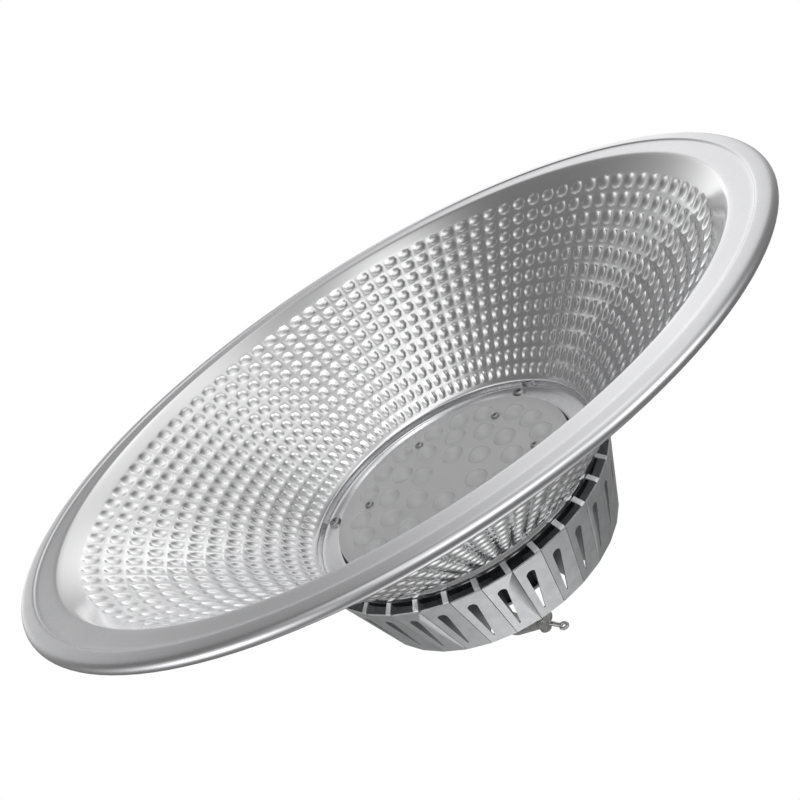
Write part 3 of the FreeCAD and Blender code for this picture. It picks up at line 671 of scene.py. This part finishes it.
# ------------------------------------------------------------------ screws
@dataclass
class PanScrews:
    """A ring of cross-recess pan head screws that stand for one CAD node, in mm.

    The seat and the shank's length come from the node's box, since its screws stand along Z.
    """

    node: str
    count: int
    circle: float
    first: float
    head_radius: float
    head: float
    shank_radius: float
    heads_up: bool = False
    facets: int = 28
    crown: float = 0.55
    recess_reach: float = 1.05
    recess_width: float = 0.24
    recess_bar: float = 0.8
    stop_turn: float = 0.7
    seat: float = field(init=False)
    shank: float = field(init=False)

    def __post_init__(self) -> None:
        """Work out the seat's height and the shank's length."""
        low, high = (round(corner.z / MM, 3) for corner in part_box(self.node))
        self.seat = high - self.head if self.heads_up else low + self.head
        self.shank = high - low - self.head

    def build(self) -> bpy.types.Object:
        """Model one screw, copy it round the circle and join the copies.

        Returns:
            The ring of screws.
        """
        master = self.head_and_shank()
        self.cut_recess(master)
        tilt = Matrix.Identity(4) if self.heads_up else Matrix.Rotation(math.pi, 4, "X")
        copies = []
        for turn in range(self.count):
            angle = math.radians(self.first + 360.0 * turn / self.count)
            spot = Vector((self.circle * math.cos(angle), self.circle * math.sin(angle),
                           self.seat)) * MM
            copy = master.copy()
            copy.data = master.data.copy()
            bpy.context.collection.objects.link(copy)
            stop = Matrix.Rotation(angle + turn * self.stop_turn, 4, "Z")
            copy.matrix_world = Matrix.Translation(spot) @ stop @ tilt
            copies.append(copy)
        bpy.data.objects.remove(master)
        deselect()
        for copy in copies:
            copy.select_set(True)
        bpy.context.view_layer.objects.active = copies[0]
        bpy.ops.object.join()
        piece = settle(bpy.context.object, self.node + "_recessed")
        bpy.ops.object.shade_smooth_by_angle(angle=math.radians(35))
        Finish.ZINC.put_on(piece)
        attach(piece, "root")
        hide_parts(self.node)
        log.info("%s: %d screws", self.node, self.count)
        return piece

    def head_and_shank(self) -> bpy.types.Object:
        """A pan head on the XY plane that points to +Z, with its shank below.

        Returns:
            The plain screw.
        """
        deselect()
        bpy.ops.mesh.primitive_cylinder_add(vertices=self.facets, radius=self.head_radius * MM,
                                            depth=self.head * MM,
                                            location=(0, 0, self.head * MM / 2))
        piece = settle(bpy.context.object, "screw_master")
        edit(piece, "FACE")
        pick(piece, lambda spot: spot.z < 0.0001 * MM)
        bpy.ops.mesh.inset(thickness=(self.head_radius - self.shank_radius) * MM, depth=0)
        bpy.ops.mesh.extrude_region_move(
            TRANSFORM_OT_translate={"value": (0, 0, -self.shank * MM)})
        bpy.ops.mesh.select_mode(type="EDGE")
        bpy.ops.mesh.select_all(action="DESELECT")
        pick(piece, lambda spot: spot.z > (self.head - 0.01) * MM, "edges")
        bpy.ops.mesh.bevel(offset=self.head * self.crown * MM, segments=4, profile=0.55)
        bpy.ops.object.mode_set(mode="OBJECT")
        return piece

    def cut_recess(self, piece: bpy.types.Object) -> None:
        """Cut the cross recess into the head.

        Args:
            piece: the plain screw.
        """
        reach, width = self.head_radius * self.recess_reach, self.head_radius * self.recess_width
        height = self.head * self.recess_bar
        for sides in ((reach, width), (width, reach)):
            deselect()
            bpy.ops.mesh.primitive_cube_add(size=1, location=(0, 0, height * MM))
            bar = bpy.context.object
            bar.scale = (sides[0] * MM, sides[1] * MM, height * MM)
            bar = settle(bar, "recess_bar")
            cut = piece.modifiers.new("recess", "BOOLEAN")
            cut.operation = "DIFFERENCE"
            cut.solver = "EXACT"
            cut.object = bar
            finish_modifiers(piece)
            bpy.data.objects.remove(bar)


# ------------------------------------------------------------------ CAD pieces
@dataclass
class DressedParts:
    """CAD nodes that keep their shape and get their real finish."""

    finishes: dict[str, Finish] = field(default_factory=lambda: {
        # core_body's cast finish is partly painted shade that darkens the gaps between the fins.
        "core_body": Finish.CAST, "back_cover": Finish.COVER, "lens_plate": Finish.ACRYLIC,
        "led_board": Finish.BOARD, "thermal_pad": Finish.PAD, "lens_gasket": Finish.GASKET,
        "cover_gasket": Finish.SEAL, "driver_board": Finish.DRIVER,
        "driver_transformer": Finish.NYLON, "driver_capacitor": Finish.CAN,
        "terminal_block": Finish.TERMINAL, "gland_body": Finish.NYLON,
        "gland_nut": Finish.NYLON, "gland_seal": Finish.SEAL,
        "suspension_stem": Finish.HANGER, "stem_nuts": Finish.HANGER,
        "hanger_hook": Finish.HANGER, "hanger_pin": Finish.HANGER, "split_pin": Finish.WIRE,
    })
    fin_edge: float = 0.12
    weld_gap: float = 0.005
    sharp_angle: float = 38.0

    def soften(self, piece: bpy.types.Object) -> None:
        """Round the sharp edges of a fin with live modifiers.

        Args:
            piece: the CAD node of one fin.
        """
        weld = piece.modifiers.new("weld", "WELD")
        weld.merge_threshold = self.weld_gap * MM
        bevel = piece.modifiers.new("soft edges", "BEVEL")
        bevel.width = self.fin_edge * MM
        bevel.segments = 2
        bevel.limit_method = "ANGLE"
        bevel.angle_limit = math.radians(self.sharp_angle)
        bevel.harden_normals = False

    def dress(self) -> None:
        """Put a finish on every CAD node by its name."""
        for name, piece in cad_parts.items():
            if name.startswith("fin_"):
                Finish.FIN.put_on(piece)
                self.soften(piece)
            elif name.endswith("screws"):
                Finish.ZINC.put_on(piece)
            elif name in self.finishes:
                self.finishes[name].put_on(piece)
            else:
                Finish.SPUN.put_on(piece)
            log.info("dressed %s", name)


# ------------------------------------------------------------------ studio
@dataclass
class Softbox:
    """A soft area light that looks at the light's middle and stays out of reflections."""

    name: str
    direction: tuple[float, float, float]
    distance: float
    width: float
    height: float
    power: float
    target: tuple[float, float, float] = (0, 0, 0.06)

    def place(self) -> None:
        """Set the softbox up."""
        deselect()
        target = Vector(self.target)
        spot = Vector(self.direction).normalized() * self.distance + target
        bpy.ops.object.light_add(type="AREA", location=spot)
        lamp = bpy.context.object
        lamp.name = self.name
        lamp.data.shape = "RECTANGLE"
        lamp.data.size = self.width
        lamp.data.size_y = self.height
        lamp.data.energy = self.power
        lamp.visible_glossy = False
        lamp.rotation_euler = (target - spot).to_track_quat("-Z", "Y").to_euler()


@dataclass(frozen=True)
class Glow:
    """A soft bright patch of the studio round a direction, as wide as its spread in degrees."""

    direction: tuple[float, float, float]
    spread: float
    strength: float


class Sky(Tree):
    """The world's node tree, with the same short calls."""

    def __init__(self, name: str) -> None:
        """Make a fresh world and show it.

        Args:
            name: the world's name.
        """
        world = bpy.data.worlds.new(name)
        bpy.context.scene.world = world
        world.use_nodes = True
        self.nodes = world.node_tree.nodes
        self.links = world.node_tree.links
        self.place = self.add("TexCoord").outputs["Generated"]


@dataclass
class Studio:
    """A white studio with soft light and the camera under the hanging light, in metres.

    Bare metal shows only what it mirrors, so the soft glows stand where each side of the
    reflector and the drum mirrors to.
    """

    eye: tuple[float, float, float] = (0.36643, 0.03132, -0.10893)
    forward: tuple[float, float, float] = (-0.92120, -0.08060, 0.38066)
    up: tuple[float, float, float] = (-0.27099, -0.56915, -0.77629)
    view_angle: float = 58.45
    near_clip: float = 0.01
    floor_drop: float = 2.2
    floor_size: float = 30.0
    floor_tone: str = "E8E8E8"
    floor_roughness: float = 0.8
    softboxes: Sequence[Softbox] = (
        Softbox("fill softbox", (0.15, 0.05, -0.95), 1.5, 0.9, 0.9, 4.5),
    )
    ambient: float = 0.18
    glows: Sequence[Glow] = (
        Glow((-0.9, -0.4, -0.1), 25, 1.1),
        Glow((-0.5, -0.3, -0.8), 20, 0.9),
        Glow((0.0, -0.5, -0.9), 20, 0.6),
        Glow((0.2, 0.3, -0.9), 15, 0.8),
        Glow((-0.8, 0.5, -0.1), 15, 1.0),
        Glow((0.7, 0.0, -0.7), 20, 2.0),
        Glow((0.6, -0.7, -0.3), 20, 2.0),
        Glow((0.3, 0.9, -0.1), 20, 2.0),
        Glow((0.2, 0.1, 1.0), 20, 1.2),
    )

    def set_camera(self) -> None:
        """Place the camera."""
        deselect()
        bpy.ops.object.camera_add()
        camera = bpy.context.object
        forward, up = Vector(self.forward).normalized(), Vector(self.up).normalized()
        right = forward.cross(up).normalized()
        up = right.cross(forward)
        turn = Matrix((right, up, -forward)).transposed().to_4x4()
        camera.matrix_world = Matrix.Translation(self.eye) @ turn
        camera.data.angle = math.radians(self.view_angle)
        camera.data.clip_start = self.near_clip
        bpy.context.scene.camera = camera

    def lay_floor(self) -> None:
        """Lay a wide pale floor well below the light."""
        deselect()
        bpy.ops.mesh.primitive_plane_add(size=self.floor_size,
                                         location=(0, 0, -self.floor_drop))
        floor = bpy.context.object
        floor.name = "studio_floor"
        tree = Tree("studio floor")
        tree.surface.inputs["Base Color"].default_value = rgb(self.floor_tone)
        tree.surface.inputs["Roughness"].default_value = self.floor_roughness
        self.show_white(tree)
        floor.data.materials.append(tree.material)

    def show_white(self, tree: Tree) -> None:
        """Show plain white to the camera and through clear parts where the floor is.

        Reflections pass the floor, so that metal mirrors the graded studio beyond it.

        Args:
            tree: the floor's material.
        """
        path = tree.add("LightPath")
        seen = tree.sum("MAXIMUM", path.outputs["Is Camera Ray"],
                        path.outputs["Is Transmission Ray"])
        white = tree.add("Emission", Strength=1.0)
        mix = tree.add("MixShader", in0=seen, in1=tree.surface.outputs[0],
                       in2=white.outputs[0])
        clear = tree.add("BsdfTransparent")
        passing = tree.add("MixShader", in0=path.outputs["Is Glossy Ray"], in1=mix.outputs[0],
                           in2=clear.outputs[0])
        output = tree.nodes["Material Output"]
        tree.feed(output.inputs["Surface"], passing.outputs[0])

    def light_world(self) -> None:
        """Give the world its soft graded light, and plain white behind the object."""
        sky = Sky("studio")
        total = self.ambient
        for glow in self.glows:
            dot = sky.add("VectorMath", {"operation": "DOT_PRODUCT"}, in0=sky.place,
                          in1=Vector(glow.direction).normalized()).outputs["Value"]
            narrow = 1 / (1 - math.cos(math.radians(glow.spread)))
            bell = sky.sum("EXPONENT", sky.sum("MULTIPLY_ADD", dot, narrow, -narrow))
            total = sky.sum("MULTIPLY_ADD", bell, glow.strength, total)
        plain = rgb("FFFFFF")
        back = sky.add("Background", Color=plain, Strength=total)
        white = sky.add("Background", Color=plain, Strength=1.0)
        path = sky.add("LightPath")
        seen = sky.add("MixShader", in0=path.outputs["Is Camera Ray"], in1=back.outputs[0],
                       in2=white.outputs[0])
        sky.feed(sky.nodes["World Output"].inputs["Surface"], seen.outputs[0])

    def build(self) -> None:
        """Set up floor, world, softboxes and camera."""
        self.lay_floor()
        self.light_world()
        for box in self.softboxes:
            box.place()
        self.set_camera()
        bpy.context.scene.view_settings.view_transform = "Standard"


def main() -> None:
    """Build every sub-assembly in order."""
    logging.basicConfig(level=logging.INFO, format="%(name)s: %(message)s")
    DressedParts().dress()
    Reflector().build()
    PanScrews("reflector_screws", count=3, circle=83.5, first=0.0, head_radius=4.0,
              head=2.2, shank_radius=2.0).build()
    PanScrews("lens_screws", count=6, circle=55.5, first=0.0, head_radius=2.8,
              head=1.6, shank_radius=1.5).build()
    PanScrews("cover_screws", count=4, circle=56.0, first=49.4, head_radius=2.75,
              head=1.8, shank_radius=1.5, heads_up=True).build()
    Studio().build()


if __name__ == "__main__":
    main()
